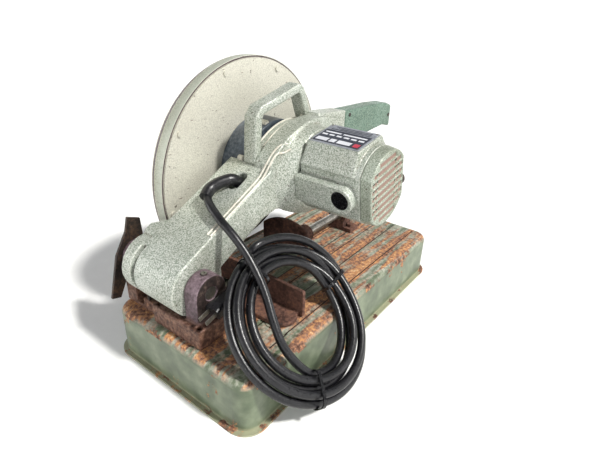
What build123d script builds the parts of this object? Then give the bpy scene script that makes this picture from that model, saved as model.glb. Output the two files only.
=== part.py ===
"""Bench cut-off saw: abrasive wheel head on a sprung arm over a pressed-steel base.

Row frame, millimetres: +Z up, the operator stands at -Y, the wheel and its guard
are on the +X side and the motor sticks out towards -X. The origin is the centre
of the base's footprint, on the bench. The head is modelled lowered on its stop.
"""
from build123d import *
from math import atan2, cos, degrees, hypot, pi, radians, sin, sqrt, tan
import os

os.makedirs("parts", exist_ok=True)

# ---------------------------------------------------------------- driving sizes
# base
base_length = 550.0
base_width = 288.0
base_height = 81.0
flange_out = 7.0
flange_thick = 3.0
sheet = 3.0
wall_corner = 26.0
top_round = 11.0
rib_height = 1.6
rib_y = (-255.0, 160.0)
# arm pivot
pivot_y = 219.0
pivot_z = 150.0
ear_r = 26.0
right_ear_x = (-30.0, -4.6)
left_ear_x = (108.6, 134.0)
block_top = 111.0
shaft_r = 10.0
# arm
barrel_r = 44.0
barrel_x = (-4.0, 108.0)
beam_x = (-4.0, 84.0)
arm_slope = 26.4
# head
spindle_y = -4.0
spindle_z = 231.0
case_x = (-4.0, 28.0, 52.0)
cover_y = -12.0
cover_z = 243.0
cover_r = 82.0
cover_x = (52.4, 102.9)
# motor, turned a little about its own axis
motor_y = -29.5
motor_z = 255.6
motor_tilt = 10.0
housing_r = 63.0
housing_end_r = 60.0
housing_flat = 51.0
housing_x = (-128.0, -24.0)
pad_x = (-118.0, -28.0)
pad_top = 66.0
boss_x = -104.0
boss_r = 21.0
cap_r = 14.5
end_x = -146.0
rib_rows = 9
rib_pitch = 11.4
# wheel and guard
wheel_x = 128.0
wheel_r = 140.0
wheel_thick = 2.8
guard_r = 185.0
guard_plate_x = (103.0, 106.0)
guard_outer_x = 151.0
guard_cut_z = 166.0
# switch handle
grip_x = (5.0, 37.0)
grip_rear_y = -142.0
grip_front_y = -318.0
# vise
vise_x = 20.0
screw_z = 112.0
screw_r = 8.0
fence_y = 108.0
jaw_face_y = -26.0
# cord
cord_d = 12.0
coil_centre = (-122.1, 140.2, 106.4)
coil_tilt = 42.8
coil_outer_r = 117.0
coil_inner_r = 71.0
coil_thick = 25.0

slope = radians(arm_slope)
along = (-cos(slope), sin(slope))
outward = (sin(slope), cos(slope))
top_tangent = (pivot_y + barrel_r * outward[0], pivot_z + barrel_r * outward[1])


def side(x):
    """A sketch plane facing +X at x, whose own axes are the row's Y and Z."""
    return Plane.YZ.offset(x)


def motor_plane(x):
    """As side(x), centred on the motor and turned with it."""
    return Plane(origin=(x, motor_y, motor_z), x_dir=(0, cos(radians(motor_tilt)), -sin(radians(motor_tilt))),
                 z_dir=(1, 0, 0))


def arm_top_z(y):
    """Height of the arm's flat top over y."""
    return top_tangent[1] + (top_tangent[0] - y) * tan(slope)


def save(builder, name):
    builder.part.label = name
    export_step(builder.part, "parts/" + name + ".step")


def tube_x(x0, x1, r_out, r_in, y, z):
    """A plain ring or disc along X, added to the open part."""
    with BuildSketch(side(x0)) as ring:
        with Locations((y, z)):
            Circle(r_out)
            if r_in > 0:
                Circle(r_in, mode=Mode.SUBTRACT)
    extrude(ring.sketch, amount=x1 - x0)


def cut_x(x0, x1, r, y, z):
    """A round hole along X, taken from the open part."""
    with BuildSketch(side(x0)) as hole:
        with Locations((y, z)):
            Circle(r)
    extrude(hole.sketch, amount=x1 - x0, mode=Mode.SUBTRACT)


def rod_y(x, z, y0, y1, r):
    """A round bar along Y, added to the open part."""
    with BuildSketch(Plane(origin=(x, y0, z), x_dir=(1, 0, 0), z_dir=(0, 1, 0))) as section:
        Circle(r)
    extrude(section.sketch, amount=y1 - y0)


def hex_bolts(places, z, across, head, shank_r, shank):
    """Hexagon-headed bolts standing on z with their shanks downwards."""
    with BuildSketch(Plane.XY.offset(z)) as heads:
        with Locations(*places):
            RegularPolygon(across / 2, 6, major_radius=False)
    extrude(heads.sketch, amount=head)
    with BuildSketch(Plane.XY.offset(z)) as shanks:
        with Locations(*places):
            Circle(shank_r)
    extrude(shanks.sketch, amount=-shank)


# ---------------------------------------------------------------- base
wheel_slot = (wheel_x - 7.0, wheel_x + 5.0)
vise_groove = (51.0, 67.0)
groove_y = (-236.0, 172.0)
block_x = (-41.0, 58.0)
block_y = (168.0, 254.5)
bracket_places = [(-33.0, 178.0), (-33.0, 246.0), (50.0, 178.0), (50.0, 246.0)]
fence_places = [(-78.0, 138.0), (8.0, 138.0)]
nut_block_places = [(vise_x - 25.0, -176.0), (vise_x + 25.0, -176.0)]
foot_places = [(72.0, 202.0), (98.0, 202.0)]

wall_w = base_width - 2 * flange_out
wall_l = base_length - 2 * flange_out
with BuildPart() as base_hollow:
    with BuildSketch():
        RectangleRounded(wall_w - 2 * sheet, wall_l - 2 * sheet, wall_corner - sheet)
    extrude(amount=base_height - sheet)
    fillet(base_hollow.faces().sort_by(Axis.Z)[-1].edges(), top_round - sheet)

with BuildPart() as base_pan:
    with BuildSketch():
        RectangleRounded(wall_w, wall_l, wall_corner)
    extrude(amount=base_height)
    fillet(base_pan.faces().sort_by(Axis.Z)[-1].edges(), top_round)
    add(base_hollow.part, mode=Mode.SUBTRACT)
    with BuildSketch():
        RectangleRounded(base_width, base_length, wall_corner + flange_out)
        RectangleRounded(wall_w - 2 * sheet, wall_l - 2 * sheet, wall_corner - sheet, mode=Mode.SUBTRACT)
    extrude(amount=flange_thick)
    # long pressed ribs on the top
    for rib_x in ((-60.0, -38.0), (-108.0, -70.0), (72.0, 110.0)):
        with BuildSketch(Plane.XY.offset(base_height - sheet / 2)):
            with Locations((sum(rib_x) / 2, sum(rib_y) / 2)):
                RectangleRounded(rib_x[1] - rib_x[0], rib_y[1] - rib_y[0], 6.0)
        extrude(amount=sheet / 2 + rib_height)
    # the wheel's slot and the vise's groove
    for slot in (wheel_slot, vise_groove):
        with BuildSketch(Plane.XY.offset(base_height - 6)):
            with Locations(((slot[0] + slot[1]) / 2, sum(groove_y) / 2)):
                RectangleRounded(slot[1] - slot[0], groove_y[1] - groove_y[0], 5.9)
        extrude(amount=12, mode=Mode.SUBTRACT)
    with BuildSketch(Plane.XY.offset(base_height - 6)):
        with Locations(*bracket_places, *fence_places, *nut_block_places, *foot_places):
            Circle(4.2)
    extrude(amount=12, mode=Mode.SUBTRACT)
save(base_pan, "base_pan")

with BuildPart() as pivot_bracket:
    with BuildSketch(Plane.XY.offset(base_height)):
        with Locations((sum(block_x) / 2, sum(block_y) / 2)):
            Rectangle(block_x[1] - block_x[0], block_y[1] - block_y[0])
    extrude(amount=block_top - base_height - 12)
    fillet(pivot_bracket.edges().filter_by(Axis.Z), 3)
    with BuildSketch(Plane.XY.offset(block_top - 12)):
        with Locations((sum(block_x) / 2, 249.0)):
            Rectangle(block_x[1] - block_x[0], 11.0)
        with Locations(((block_x[0] + right_ear_x[1]) / 2, 211.0)):
            Rectangle(right_ear_x[1] - block_x[0], 87.0)
    extrude(amount=12)
    # foot plate that carries the left ear
    with BuildSketch(Plane.XY.offset(base_height)):
        with Locations((95.0, 219.0)):
            Rectangle(76.0, 52.0)
    extrude(amount=6)
    # lug that holds the spring's leg
    with BuildSketch(Plane.XY.offset(base_height + 6)):
        with Locations((82.0, 240.0)):
            Rectangle(26.0, 8.0)
    extrude(amount=12)
    with BuildSketch(Plane.XY.offset(base_height + 6)):
        with Locations((82.0, 236.0)):
            Rectangle(26.0, 16.0)
    extrude(amount=4)
    for ear in (right_ear_x, left_ear_x):
        with BuildSketch(side(ear[0])):
            with Locations((pivot_y, pivot_z)):
                Circle(ear_r)
            with Locations((pivot_y, (base_height + pivot_z) / 2)):
                Rectangle(2 * ear_r, pivot_z - base_height)
        extrude(amount=ear[1] - ear[0])
    cut_x(-60, 160, shaft_r + 0.02, pivot_y, pivot_z)
    with BuildSketch(Plane.XY.offset(base_height - 1)):
        with Locations(*bracket_places, *foot_places):
            Circle(4.2)
    extrude(amount=40, mode=Mode.SUBTRACT)
    with BuildSketch(Plane.XY.offset(pivot_z)):
        with Locations((sum(right_ear_x) / 2, pivot_y), (sum(left_ear_x) / 2, pivot_y)):
            Circle(4.0)
    extrude(amount=ear_r + 2, mode=Mode.SUBTRACT)
save(pivot_bracket, "pivot_bracket")

with BuildPart() as pivot_grub_screws:
    with BuildSketch(Plane.XY.offset(pivot_z + shaft_r)):
        with Locations((sum(right_ear_x) / 2, pivot_y), (sum(left_ear_x) / 2, pivot_y)):
            Circle(4.0)
    extrude(amount=ear_r - shaft_r + 1.5)
    with BuildSketch(Plane.XY.offset(pivot_z + ear_r + 0.2)):
        with Locations((sum(right_ear_x) / 2, pivot_y), (sum(left_ear_x) / 2, pivot_y)):
            Circle(2.0)
    extrude(amount=4, mode=Mode.SUBTRACT)
save(pivot_grub_screws, "pivot_grub_screws")

with BuildPart() as pivot_shaft:
    tube_x(right_ear_x[0] + 2, left_ear_x[1] + 8, shaft_r, 0, pivot_y, pivot_z)
save(pivot_shaft, "pivot_shaft")

with BuildPart() as shaft_nut:
    with BuildSketch(side(left_ear_x[1] + 4.6)):
        with Locations((pivot_y, pivot_z)):
            RegularPolygon(15, 6, major_radius=False)
            Circle(shaft_r, mode=Mode.SUBTRACT)
    extrude(amount=6)
save(shaft_nut, "shaft_nut")

with BuildPart() as base_bolts:
    hex_bolts([bracket_places[0]], block_top, 13, 6, 4.0, 36)
    hex_bolts([bracket_places[2]], block_top - 12, 13, 6, 4.0, 24)
    hex_bolts(foot_places, base_height + 6, 13, 6, 4.0, 14)
    hex_bolts(fence_places, base_height + rib_height + 7.2, 17, 7, 4.0, 14)
    hex_bolts(nut_block_places, base_height + 8, 13, 6, 4.0, 16)
save(base_bolts, "base_bolts")

# ---------------------------------------------------------------- fence and vise
fence_x = (-104.0, 98.0)
fence_top = 128.0

with BuildPart() as fence:
    with BuildSketch(Plane.XZ.offset(-fence_y)):
        with Locations((sum(fence_x) / 2, (base_height + rib_height + fence_top) / 2 + 0.2)):
            RectangleRounded(fence_x[1] - fence_x[0], fence_top - base_height - rib_height - 0.4, 4)
    extrude(amount=-6)
    with BuildSketch(Plane.XY.offset(base_height + rib_height + 0.2)):
        with Locations((-35.0, 133.0)):
            SlotOverall(136.0, 46.0)
    extrude(amount=7)
    with BuildSketch(Plane.XY.offset(base_height)):
        with Locations(*fence_places):
            Circle(4.2)
    extrude(amount=12, mode=Mode.SUBTRACT)
save(fence, "fence")

jaw_x = (-4.0, 98.0)
with BuildPart() as vise_jaw:
    with BuildSketch(Plane.XZ.offset(-(jaw_face_y - 8))):
        with BuildLine():
            Polyline((jaw_x[0], 131.0), (jaw_x[0], 84.0), (jaw_x[1], 84.0), (jaw_x[1], 123.0))
            ThreePointArc((jaw_x[1], 123.0), (36.0, 143.0), (jaw_x[0], 131.0))
        make_face()
    extrude(amount=-8)
    tube = Plane(origin=(vise_x, jaw_face_y - 34, screw_z), x_dir=(1, 0, 0), z_dir=(0, 1, 0))
    with BuildSketch(tube):
        Circle(17)
    extrude(amount=26)
    with BuildSketch(tube):
        Circle(screw_r + 0.05)
    extrude(amount=22, mode=Mode.SUBTRACT)
save(vise_jaw, "vise_jaw")

nut_y = (-190.0, -162.0)
with BuildPart() as vise_nut_block:
    with BuildSketch(Plane.XZ.offset(-nut_y[0])):
        with Locations((vise_x, (base_height + screw_z) / 2)):
            Rectangle(32.0, screw_z - base_height)
        with Locations((vise_x, screw_z)):
            Circle(20)
        with Locations((vise_x, base_height + 4)):
            Rectangle(68.0, 8.0)
        with Locations((vise_x, screw_z)):
            Circle(12, mode=Mode.SUBTRACT)
    extrude(amount=-(nut_y[1] - nut_y[0]))
    with BuildSketch(Plane.XY.offset(base_height)):
        with Locations(*nut_block_places):
            Circle(4.2)
    extrude(amount=10, mode=Mode.SUBTRACT)
save(vise_nut_block, "vise_nut_block")

with BuildPart() as vise_nut:
    with BuildSketch(Plane(origin=(vise_x, nut_y[0], screw_z), x_dir=(1, 0, 0), z_dir=(0, 1, 0))):
        Circle(12)
        Circle(screw_r + 0.08, mode=Mode.SUBTRACT)
    extrude(amount=nut_y[1] - nut_y[0])
save(vise_nut, "vise_nut")

crank_y = -430.0
crank_r = 44.0
with BuildPart() as vise_screw:
    rod_y(vise_x, screw_z, crank_y - 12, jaw_face_y - 12.2, screw_r)
save(vise_screw, "vise_screw")

with BuildPart() as vise_crank:
    crank_plane = Plane(origin=(vise_x, crank_y - 10, screw_z), x_dir=(1, 0, 0), z_dir=(0, 1, 0))
    with BuildSketch(crank_plane):
        Circle(15)
        with Locations((crank_r, 0)):
            Circle(9)
        with Locations((crank_r / 2, 0)):
            Rectangle(crank_r, 15)
        Circle(screw_r, mode=Mode.SUBTRACT)
        with Locations((crank_r, 0)):
            Circle(4, mode=Mode.SUBTRACT)
    extrude(amount=10)
save(vise_crank, "vise_crank")

knob_x = vise_x + crank_r
with BuildPart() as crank_knob:
    with BuildSketch(Plane.YZ.offset(knob_x)):
        with BuildLine():
            Polyline((crank_y, screw_z), (crank_y, screw_z + 3.95), (crank_y - 10.4, screw_z + 3.95),
                     (crank_y - 10.4, screw_z + 9), (crank_y - 20, screw_z + 11), (crank_y - 40, screw_z + 12),
                     (crank_y - 48, screw_z + 8), (crank_y - 50, screw_z), (crank_y, screw_z))
        make_face()
    revolve(axis=Axis((knob_x, 0, screw_z), (0, 1, 0)))
save(crank_knob, "crank_knob")

# depth stop under the arm
stop_place = (42.0, 154.0)
stop_top = 167.0
with BuildPart() as depth_stop:
    with BuildSketch(Plane.XY.offset(base_height)):
        with Locations(stop_place):
            RegularPolygon(8, 6, major_radius=False)
    extrude(amount=16)
    with BuildSketch(Plane.XY.offset(base_height)):
        with Locations(stop_place):
            Circle(6)
    extrude(amount=stop_top - base_height)
    with BuildSketch(Plane.XY.offset(stop_top - 26)):
        with Locations(stop_place):
            RegularPolygon(7.5, 6, major_radius=False)
    extrude(amount=10)
save(depth_stop, "depth_stop")

# ---------------------------------------------------------------- lock strap on the shaft's end
strap_x = (left_ear_x[1] + 0.4, left_ear_x[1] + 4.4)
with BuildPart() as lock_strap:
    with BuildSketch(side(strap_x[0])):
        with BuildLine():
            Polyline((206, 204), (226, 212), (232, 190), (252, 158), (270, 92), (256, 88), (236, 126),
                     (205, 146), (204, 166), (206, 204))
        make_face()
        with Locations((pivot_y, pivot_z)):
            Circle(shaft_r + 0.05, mode=Mode.SUBTRACT)
    extrude(amount=strap_x[1] - strap_x[0])
save(lock_strap, "lock_strap")

# ---------------------------------------------------------------- arm casting
case_bore_r = 50.0
case_bore_y = -15.0
case_bore_z = 244.0

with BuildPart() as arm_casting:
    tube_x(barrel_x[0], barrel_x[1], barrel_r, 0, pivot_y, pivot_z)
    with BuildSketch(side(beam_x[0])):
        with BuildLine():
            Polyline(top_tangent, (58.0, arm_top_z(58.0)), (30.0, 300.0), (-8.0, 300.0), (-8.0, 190.0),
                     (18.0, 196.0), (40.0, 206.0), (60.0, 207.5), (86.0, 203.0), (192.0, 152.0), top_tangent)
        make_face()
    extrude(amount=beam_x[1] - beam_x[0])
    # plan taper of the arm's left side, from the barrel's end to the beam
    with BuildSketch(Plane.XY.offset(100)):
        with BuildLine():
            Polyline((84.0, 190.0), (108.0, 206.0), (108.0, 219.0), (84.0, 219.0), (84.0, 190.0))
        make_face()
    extrude(amount=140)
    with BuildSketch(side(84.0)):
        with BuildLine():
            Polyline(top_tangent, (180.0, arm_top_z(180.0)), (180.0, 320.0), (300.0, 320.0), (300.0, 100.0),
                     (180.0, 100.0), (180.0, 160.0), (200.0, 150.0), (219.0, 150.0), top_tangent)
        make_face()
        with Locations((pivot_y, pivot_z)):
            Circle(barrel_r, mode=Mode.SUBTRACT)
    extrude(amount=30, mode=Mode.SUBTRACT)
    # gear case: a rim with a lip, then a lower drum towards the wheel
    for x0, x1, inset in ((case_x[0], case_x[1], 0.0), (case_x[1], case_x[2], 9.0)):
        with BuildSketch(side(x0)):
            with BuildLine():
                Polyline((70.0 - inset, 282.0 - inset), (60.0, 207.5), (40.0, 206.0), (18.0, 196.0), (-8.0, 187.0),
                         (-70.0, 189.0), (-98.0 + inset, 215.0), (-104.0 + inset, 290.0), (-78.0 + inset, 327.0 - inset))
                ThreePointArc((-78.0 + inset, 327.0 - inset), (-6.0, 328.0 - inset), (70.0 - inset, 282.0 - inset))
            make_face()
        extrude(amount=x1 - x0)
    # room for the gear cover
    cut_x(case_x[2], 140, cover_r + 0.6, cover_y, cover_z)
    # dome towards the motor
    with BuildSketch(side(case_x[0])):
        with Locations((-20.0, 246.0)):
            Circle(80)
    with BuildSketch(motor_plane(housing_x[1])):
        Circle(housing_r + 3)
    loft()
    with BuildSketch(side(-60)):
        with BuildLine():
            Polyline((140.0, 100.0), (140.0, 203.0), (60.0, 203.0), (40.0, 200.0), (18.0, 190.0), (-8.0, 184.0),
                     (-80.0, 188.0), (-130.0, 230.0), (-130.0, 100.0), (140.0, 100.0))
        make_face()
    extrude(amount=60 + case_x[0], mode=Mode.SUBTRACT)
    # neck that carries the switch handle
    with BuildSketch(side(grip_x[0])):
        with BuildLine():
            Polyline((-60.0, 335.0), (grip_rear_y, 327.0), (grip_rear_y, 284.0), (-92.0, 276.0), (-60.0, 276.0),
                     (-60.0, 335.0))
        make_face()
    extrude(amount=grip_x[1] - grip_x[0])
    with BuildSketch(side(grip_x[0] + 7)):
        with BuildLine():
            Polyline((grip_rear_y, 320.0), (grip_rear_y - 28, 318.0), (grip_rear_y - 28, 292.0), (grip_rear_y, 292.0),
                     (grip_rear_y, 320.0))
        make_face()
    extrude(amount=18)
    # pivot bore, spring chamber and the slit for the spring's leg
    cut_x(-10, 120, shaft_r + 4, pivot_y, pivot_z)
    cut_x(24, 94, 30, pivot_y, pivot_z)
    with BuildSketch(side(79.0)):
        with BuildLine():
            Polyline((pivot_y, pivot_z), (238, 200), (300, 200), (300, 60), (226, 60), (pivot_y, pivot_z))
        make_face()
    extrude(amount=8, mode=Mode.SUBTRACT)
    # hollow gear case and the way for the motor shaft
    cut_x(12, case_x[2] + 1, case_bore_r, case_bore_y, case_bore_z)
    cut_x(-30, -8, 54, motor_y, motor_z)
    cut_x(-9, 13, 16.05, motor_y, motor_z)
    cut_x(0, 13, 16.05, spindle_y, spindle_z)
    # cord slot in the arm's top and the duct below it
    slot_plane = Plane(origin=(35.0, 100.0, arm_top_z(100.0)), x_dir=(0, along[0], along[1]),
                       z_dir=(0, outward[0], outward[1]))
    with BuildSketch(slot_plane):
        SlotOverall(34.0, 19.0)
    extrude(amount=-40, mode=Mode.SUBTRACT)
    with BuildSketch(Plane(origin=(35.0, 100.0, arm_top_z(100.0) - 34), x_dir=(1, 0, 0), z_dir=(0, along[0], along[1]))):
        Circle(12)
    extrude(amount=70, mode=Mode.SUBTRACT)
save(arm_casting, "arm_casting")

with BuildPart() as arm_bushes:
    for bush in ((-4.0, 23.5), (94.5, 108.0)):
        tube_x(bush[0], bush[1], shaft_r + 4, shaft_r + 0.05, pivot_y, pivot_z)
save(arm_bushes, "arm_bushes")

spring_wire = 5.0
spring_mean = 22.0
spring_turns = 10
spring_pitch = 4.8
leg_x = 83.0
with BuildPart() as arm_spring:
    for turn in range(spring_turns):
        with BuildSketch(Plane.XY.offset(pivot_z)):
            with Locations((leg_x - turn * spring_pitch, pivot_y + spring_mean)):
                Circle(spring_wire / 2)
        revolve(axis=Axis((0, pivot_y, pivot_z), (1, 0, 0)))
    with BuildSketch(Plane.XY.offset(base_height + 18.2)):
        with Locations((leg_x, pivot_y + spring_mean)):
            Circle(spring_wire / 2)
    extrude(amount=pivot_z - base_height - 18.2)
save(arm_spring, "arm_spring")

# ---------------------------------------------------------------- gear cover and carry handle
with BuildPart() as gear_cover:
    with BuildSketch(side(cover_x[0])):
        with Locations((cover_y, cover_z)):
            Circle(cover_r)
            with Locations((0, -cover_r - 32)):
                Rectangle(2 * cover_r, 2 * 40, mode=Mode.SUBTRACT)
    extrude(amount=cover_x[1] - cover_x[0])
    cut_x(cover_x[0] - 1, 62, case_bore_r, case_bore_y, case_bore_z)
    cut_x(60, 84, 20, spindle_y, spindle_z)
    cut_x(82, 104, 23.55, spindle_y, spindle_z)
save(gear_cover, "gear_cover")

bar_x = (28.0, 51.0)
bar = 11.0
with BuildPart() as carry_handle:
    loop = [(68.0, 276.0), (64.0, 346.0), (52.0, 359.0), (-37.0, 381.0), (-48.0, 375.0), (-76.0, 308.0)]
    inner = [(68.0 - bar, 276.0), (64.0 - bar - 1, 341.0), (48.0, 349.0), (-35.0, 369.0), (-41.0, 365.0),
             (-64.0, 308.0)]
    with BuildSketch(side(bar_x[0] + 0.4)):
        with BuildLine():
            Polyline(*loop, *reversed(inner), loop[0])
        make_face()
    extrude(amount=bar_x[1] - bar_x[0])
    add(arm_casting.part, mode=Mode.SUBTRACT)
save(carry_handle, "carry_handle")

# ---------------------------------------------------------------- motor

def brush_plane(way, distance):
    """A plane across the brush holder's axis, at a distance from the motor's axis."""
    c = way * cos(radians(motor_tilt))
    s = -way * sin(radians(motor_tilt))
    return Plane(origin=(boss_x, motor_y + c * distance, motor_z + s * distance), x_dir=(1, 0, 0), z_dir=(0, c, s))


with BuildPart() as motor_housing:
    with BuildSketch(motor_plane(housing_x[1])):
        Circle(housing_r)
        Rectangle(2 * housing_flat, 3 * housing_r, mode=Mode.INTERSECT)
    with BuildSketch(motor_plane(housing_x[0])):
        Circle(housing_end_r + 1)
        Rectangle(2 * housing_flat - 2, 3 * housing_r, mode=Mode.INTERSECT)
    loft()
    # flat pad for the nameplate, with sloping sides
    with BuildSketch(motor_plane(pad_x[0])):
        with BuildLine():
            Polyline((-31, pad_top), (35, pad_top), (53, 34), (-49, 34), (-31, pad_top))
        make_face()
    extrude(amount=pad_x[1] - pad_x[0])
    # bosses for the brush holders, round at their outer ends
    for way in (1, -1):
        with BuildSketch(brush_plane(way, 30)):
            Circle(boss_r)
            with Locations(((housing_x[1] - boss_x) / 2, 0)):
                Rectangle(housing_x[1] - boss_x, 2 * boss_r)
        extrude(amount=38)
    with BuildSketch(motor_plane(housing_x[0] - 1)):
        Circle(housing_r - 5.5)
        Rectangle(2 * housing_flat - 10, 3 * housing_r, mode=Mode.INTERSECT)
    extrude(amount=housing_x[1] - housing_x[0] + 1, mode=Mode.SUBTRACT)
    # each brush's bore, and the wider sink for its cap
    for way in (1, -1):
        with BuildSketch(brush_plane(way, 20)):
            Circle(9)
        extrude(amount=60, mode=Mode.SUBTRACT)
        with BuildSketch(brush_plane(way, 59.5)):
            Circle(cap_r + 0.1)
        extrude(amount=12, mode=Mode.SUBTRACT)
save(motor_housing, "motor_housing")


with BuildPart() as end_cover:
    with BuildSketch(motor_plane(housing_x[0] - 0.4)):
        Circle(housing_end_r + 0.8)
        Rectangle(2 * housing_flat - 2.4, 3 * housing_r, mode=Mode.INTERSECT)
    with BuildSketch(motor_plane(end_x)):
        Circle(housing_end_r - 1.8)
        Rectangle(2 * housing_flat - 5, 3 * housing_r, mode=Mode.INTERSECT)
    loft()
    fillet(end_cover.faces().sort_by(Axis.X)[0].edges(), 2.0)
    with BuildSketch(motor_plane(housing_x[0] - 0.4)):
        Circle(housing_end_r - 3.5)
        Rectangle(2 * housing_flat - 10, 3 * housing_r, mode=Mode.INTERSECT)
    extrude(amount=end_x + 5.0 - housing_x[0] + 0.4, mode=Mode.SUBTRACT)
    # level grooves between ribs, with rows of air holes in their floors
    for row in range(rib_rows):
        v = rib_pitch * (row - (rib_rows - 1) / 2)
        half = min(sqrt((housing_end_r - 5.0) ** 2 - (abs(v) + 3.6) ** 2), housing_flat - 6.0)
        with BuildSketch(motor_plane(end_x - 1)):
            with Locations((0, v)):
                Rectangle(2 * half, rib_pitch - 3.2)
        extrude(amount=3.4, mode=Mode.SUBTRACT)
        air_holes = [(u, v) for u in (-36.0, -27.0, 27.0, 36.0) if abs(u) < half - 5]
        if air_holes:
            with BuildSketch(motor_plane(end_x - 1)):
                with Locations(*air_holes):
                    Circle(2.6)
            extrude(amount=8, mode=Mode.SUBTRACT)
    tube_x(end_x + 4, end_x + 16, 20, 16, motor_y, motor_z)
save(end_cover, "end_cover")

with BuildPart() as end_cover_screws:
    for u, v in ((46.0, 24.0), (-46.0, 24.0), (46.0, -24.0), (-46.0, -24.0)):
        with BuildSketch(motor_plane(end_x + 5.4)):
            with Locations((u * 0.86, v)):
                Circle(3.2)
        extrude(amount=22)
save(end_cover_screws, "end_cover_screws")

with BuildPart() as nameplate:
    with BuildSketch(motor_plane(pad_x[0] + 3)):
        with Locations((2.0, pad_top + 0.6)):
            Rectangle(62.0, 1.0)
    extrude(amount=pad_x[1] - pad_x[0] - 6)
save(nameplate, "nameplate")

with BuildPart() as nameplate_rivets:
    face = pad_top + 1.1
    for u in (-26.0, 30.0):
        for x in (pad_x[0] + 6, pad_x[1] - 6):
            rivet = Plane(origin=(x, motor_y + u * cos(radians(motor_tilt)) + face * sin(radians(motor_tilt)),
                                  motor_z - u * sin(radians(motor_tilt)) + face * cos(radians(motor_tilt))),
                          x_dir=(1, 0, 0), z_dir=(0, sin(radians(motor_tilt)), cos(radians(motor_tilt))))
            with BuildSketch(rivet):
                Circle(1.6)
            extrude(amount=0.8)
save(nameplate_rivets, "nameplate_rivets")

with BuildPart() as brush_holders:
    for way in (1, -1):
        with BuildSketch(brush_plane(way, 24)):
            Circle(8.9)
            Rectangle(6.6, 10.6, mode=Mode.SUBTRACT)
        extrude(amount=34)
save(brush_holders, "brush_holders")

with BuildPart() as carbon_brushes:
    for way in (1, -1):
        with BuildSketch(brush_plane(way, 18.8)):
            Rectangle(6.4, 10.4)
        extrude(amount=22)
save(carbon_brushes, "carbon_brushes")

with BuildPart() as brush_caps:
    for way in (1, -1):
        with BuildSketch(brush_plane(way, 59.6)):
            Circle(cap_r)
        extrude(amount=6.4)
        with BuildSketch(brush_plane(way, 62)):
            Circle(cap_r - 3.5)
        extrude(amount=6, mode=Mode.SUBTRACT)
        with BuildSketch(brush_plane(way, 61)):
            Rectangle(15, 2.0)
        extrude(amount=4, mode=Mode.SUBTRACT)
save(brush_caps, "brush_caps")

with BuildPart() as stator:
    tube_x(-92, -44, 45.5, 32, motor_y, motor_z)
save(stator, "stator")

with BuildPart() as field_coils:
    for x0, x1 in ((-95, -92), (-44, -36)):
        tube_x(x0, x1, 44, 33, motor_y, motor_z)
save(field_coils, "field_coils")

with BuildPart() as armature:
    tube_x(-92, -44, 30.5, 7, motor_y, motor_z)
    for x0, x1 in ((-95, -92), (-44, -36)):
        tube_x(x0, x1, 25, 7, motor_y, motor_z)
save(armature, "armature")

with BuildPart() as commutator:
    tube_x(-116, -95, 18.2, 7, motor_y, motor_z)
save(commutator, "commutator")

with BuildPart() as cooling_fan:
    tube_x(-34, -14, 12, 7, motor_y, motor_z)
    tube_x(-18, -15, 47, 12, motor_y, motor_z)
    with BuildSketch(side(-32)):
        with Locations((motor_y, motor_z)):
            with PolarLocations(0, 9):
                with Locations((28, 0)):
                    Rectangle(34, 3)
    extrude(amount=14)
save(cooling_fan, "cooling_fan")

pinion_teeth = 9
gear_teeth = 34
centre_distance = hypot(motor_y - spindle_y, motor_z - spindle_z)
tooth_module = 2 * centre_distance / (pinion_teeth + gear_teeth)


def gear_outline(teeth, first):
    """Straight-sided teeth on a root circle; first is the first tooth's angle in degrees."""
    pitch_r = tooth_module * teeth / 2
    root_r = pitch_r - 1.25 * tooth_module
    tip_r = pitch_r + 0.8 * tooth_module
    wide = 0.29 * pi * tooth_module / pitch_r
    narrow = 0.12 * pi * tooth_module / tip_r
    Circle(root_r)
    for tooth in range(teeth):
        a = radians(first + 360.0 * tooth / teeth)
        corners = [(root_r - 0.3, a - wide), (tip_r, a - narrow), (tip_r, a + narrow), (root_r - 0.3, a + wide)]
        Polygon(*[(r * cos(t), r * sin(t)) for r, t in corners], align=None)


mesh_angle = degrees(atan2(motor_z - spindle_z, motor_y - spindle_y))
gear_x = (36.0, 50.0)
with BuildPart() as motor_shaft:
    tube_x(-138, gear_x[0], 7, 0, motor_y, motor_z)
    with BuildSketch(Plane(origin=(gear_x[0], motor_y, motor_z), x_dir=(0, 1, 0), z_dir=(1, 0, 0))):
        gear_outline(pinion_teeth, mesh_angle + 180.0 + 180.0 / pinion_teeth)
    extrude(amount=gear_x[1] - gear_x[0])
save(motor_shaft, "motor_shaft")

# ---------------------------------------------------------------- spindle, wheel and guard
spindle_r = 10.0
arbor_r = 12.7
with BuildPart() as spindle:
    tube_x(0.5, 112, spindle_r, 0, spindle_y, spindle_z)
    tube_x(112, wheel_x + wheel_thick / 2 + 2, arbor_r, 0, spindle_y, spindle_z)
    cut_x(118, 140, 5.0, spindle_y, spindle_z)
save(spindle, "spindle")

with BuildPart() as drive_gear:
    with BuildSketch(Plane(origin=(gear_x[0], spindle_y, spindle_z), x_dir=(0, 1, 0), z_dir=(1, 0, 0))):
        gear_outline(gear_teeth, mesh_angle)
        Circle(spindle_r, mode=Mode.SUBTRACT)
    extrude(amount=gear_x[1] - gear_x[0])
    tube_x(gear_x[1], gear_x[1] + 8, 15, spindle_r, spindle_y, spindle_z)
save(drive_gear, "drive_gear")

with BuildPart() as ball_bearings:
    tube_x(-4, 8, 16, 7.02, motor_y, motor_z)
    tube_x(-138, -129, 16, 7.02, motor_y, motor_z)
    tube_x(0.5, 11.5, 16, spindle_r + 0.02, spindle_y, spindle_z)
    tube_x(84, 98, 23.5, spindle_r + 0.02, spindle_y, spindle_z)
save(ball_bearings, "ball_bearings")

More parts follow.
